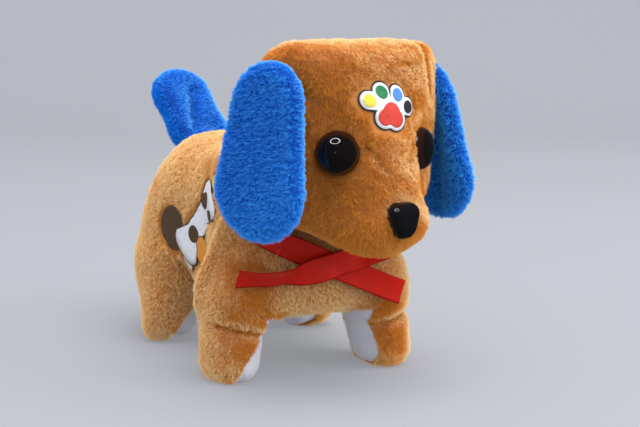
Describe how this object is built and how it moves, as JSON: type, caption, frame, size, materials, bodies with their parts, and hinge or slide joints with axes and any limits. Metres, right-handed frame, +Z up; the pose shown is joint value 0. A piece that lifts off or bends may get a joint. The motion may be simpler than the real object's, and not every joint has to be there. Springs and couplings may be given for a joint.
{
  "type": "walking plush puppy toy",
  "caption": "Battery-driven walking plush puppy: swinging legs, nodding head, wagging tail, floppy ears, bead eyes, satin neck ribbon and a geared mechanism inside.",
  "frame": {"origin": "on the floor, at the middle of the rectangle that the puppy covers seen from above", "axes": "+Z up, the puppy faces -Y, its left side is +X"},
  "size_m": [0.1062, 0.1928, 0.1282],
  "materials": {
    "tan_plush": "short golden tan plush",
    "blue_plush": "short royal blue plush",
    "white_cloth": "smooth white brushed cloth",
    "stuffing": "white polyester fill",
    "red_satin": "red satin ribbon with woven edges",
    "eye_black": "black glossy with a brown rim",
    "nose_black": "black glossy",
    "washer_white": "moulded white",
    "print_vinyl": "printed heat-transfer film",
    "abs_white": "moulded off-white",
    "gear_acetal": "moulded natural acetal",
    "steel": "plain steel",
    "cell_jacket": "plain printed jacket",
    "board_green": "solder-masked board",
    "dark_plastic": "moulded black"
  },
  "bodies": {
    "chassis": {"housing_left": "abs_white", "housing_right": "abs_white", "housing_screw_1": "steel", "housing_screw_2": "steel", "housing_screw_3": "steel", "housing_screw_4": "steel", "battery_left": "cell_jacket", "battery_right": "cell_jacket", "spring_contact_left": "steel", "spring_contact_right": "steel", "motor": "steel", "first_gear_pin": "steel", "second_gear_pin": "steel", "front_axle": "steel", "rear_axle": "steel", "neck_pin": "steel", "tail_pin": "steel", "speaker": "dark_plastic", "sound_board": "board_green", "switch_body": "dark_plastic", "torso_plush": "tan_plush", "belly_panel": "white_cloth", "back_fill": "stuffing", "ribbon": "red_satin", "side_print": "print_vinyl"},
    "rotor": {"motor_shaft": "steel", "motor_pinion": "gear_acetal"},
    "gear_one": {"first_gear": "gear_acetal"},
    "gear_two": {"second_gear": "gear_acetal"},
    "crank": {"crank_gear": "gear_acetal", "crankshaft": "steel", "crank_disc_left": "gear_acetal", "crank_disc_right": "gear_acetal"},
    "head": {"neck_lever": "abs_white", "head_plush": "tan_plush", "head_fill": "stuffing", "nose": "nose_black", "nose_washer": "washer_white", "eye_left": "eye_black", "eye_right": "eye_black", "eye_washer_left": "washer_white", "eye_washer_right": "washer_white", "paw_patch": "print_vinyl"},
    "left_ear": {"ear_left": "blue_plush"},
    "right_ear": {"ear_right": "blue_plush"},
    "tail": {"tail_lever": "abs_white", "tail_plush": "blue_plush"},
    "switch": {"switch_knob": "dark_plastic"},
    "door": {"battery_door": "abs_white", "door_screw": "steel"},
    "front_left_leg": {"leg_front_left": "abs_white", "leg_sleeve_front_left": "tan_plush"},
    "front_right_leg": {"leg_front_right": "abs_white", "leg_sleeve_front_right": "tan_plush"},
    "rear_left_leg": {"leg_rear_left": "abs_white", "leg_sleeve_rear_left": "tan_plush"},
    "rear_right_leg": {"leg_rear_right": "abs_white", "leg_sleeve_rear_right": "tan_plush"},
    "left_rod": {"coupler_rod_left": "abs_white"},
    "right_rod": {"coupler_rod_right": "abs_white"}
  },
  "joints": [
    {"name": "motor_spin", "type": "hinge", "parent": "chassis", "child": "rotor", "pos_m": [-0.0034, -0.01883, 0.0572], "axis": [1, 0, 0], "continuous": true},
    {"name": "gear_one_spin", "type": "hinge", "parent": "chassis", "child": "gear_one", "pos_m": [-0.0034, -0.00523, 0.05625], "axis": [1, 0, 0], "continuous": true},
    {"name": "gear_two_spin", "type": "hinge", "parent": "chassis", "child": "gear_two", "pos_m": [-0.0034, 0.00836, 0.0553], "axis": [1, 0, 0], "continuous": true},
    {"name": "crank_spin", "type": "hinge", "parent": "chassis", "child": "crank", "pos_m": [-0.0034, 0.02196, 0.05435], "axis": [1, 0, 0], "continuous": true},
    {"name": "rear_left_leg_swing", "type": "hinge", "parent": "chassis", "child": "rear_left_leg", "pos_m": [-0.0034, 0.03797, 0.034], "axis": [1, 0, 0], "range_deg": [-10.4, 10.4]},
    {"name": "rear_right_leg_swing", "type": "hinge", "parent": "chassis", "child": "rear_right_leg", "pos_m": [-0.0034, 0.03797, 0.034], "axis": [1, 0, 0], "range_deg": [-10.4, 10.4]},
    {"name": "front_left_leg_swing", "type": "hinge", "parent": "chassis", "child": "front_left_leg", "pos_m": [-0.0034, -0.03203, 0.034], "axis": [1, 0, 0], "range_deg": [-10.4, 10.4]},
    {"name": "front_right_leg_swing", "type": "hinge", "parent": "chassis", "child": "front_right_leg", "pos_m": [-0.0034, -0.03203, 0.034], "axis": [1, 0, 0], "range_deg": [-10.4, 10.4]},
    {"name": "left_rod_pivot", "type": "hinge", "parent": "front_left_leg", "child": "left_rod", "pos_m": [-0.0034, -0.03203, 0.044], "axis": [1, 0, 0], "range_deg": [-10.4, 10.4]},
    {"name": "right_rod_pivot", "type": "hinge", "parent": "front_right_leg", "child": "right_rod", "pos_m": [-0.0034, -0.03203, 0.044], "axis": [1, 0, 0], "range_deg": [-10.4, 10.4]},
    {"name": "head_nod", "type": "hinge", "parent": "chassis", "child": "head", "pos_m": [-0.0034, -0.03253, 0.064], "axis": [1, 0, 0], "range_deg": [-4, 4]},
    {"name": "tail_wag", "type": "hinge", "parent": "chassis", "child": "tail", "pos_m": [-0.0034, 0.03897, 0.066], "axis": [0, 0, 1], "range_deg": [-12, 12]},
    {"name": "left_ear_flap", "type": "hinge", "parent": "head", "child": "left_ear", "pos_m": [0.03905, -0.05587, 0.1215], "axis": [0.1736, -0.9848, 0], "range_deg": [0, 50], "stiffness_Nm_per_rad": 0.02},
    {"name": "right_ear_flap", "type": "hinge", "parent": "head", "child": "right_ear", "pos_m": [-0.03855, -0.06955, 0.1215], "axis": [-0.5, 0.866, 0], "range_deg": [0, 50], "stiffness_Nm_per_rad": 0.02},
    {"name": "switch_slide", "type": "slide", "parent": "chassis", "child": "switch", "axis": [1, 0, 0], "range_m": [0, 0.0028]},
    {"name": "battery_door_lift", "type": "slide", "parent": "chassis", "child": "door", "axis": [0, 0, -1], "range_m": [0, 0.014]}
  ],
  "couplings": [
    {"joint": "gear_one_spin", "follows": "motor_spin", "ratio": -0.28571},
    {"joint": "gear_two_spin", "follows": "motor_spin", "ratio": 0.081633},
    {"joint": "crank_spin", "follows": "motor_spin", "ratio": -0.023324},
    {"joint": "rear_right_leg_swing", "follows": "rear_left_leg_swing", "ratio": -1},
    {"joint": "front_left_leg_swing", "follows": "rear_left_leg_swing", "ratio": 1},
    {"joint": "front_right_leg_swing", "follows": "rear_left_leg_swing", "ratio": -1},
    {"joint": "left_rod_pivot", "follows": "rear_left_leg_swing", "ratio": -1},
    {"joint": "right_rod_pivot", "follows": "rear_left_leg_swing", "ratio": 1},
    {"joint": "head_nod", "follows": "rear_left_leg_swing", "ratio": 0.38},
    {"joint": "tail_wag", "follows": "rear_left_leg_swing", "ratio": 1.15}
  ]
}
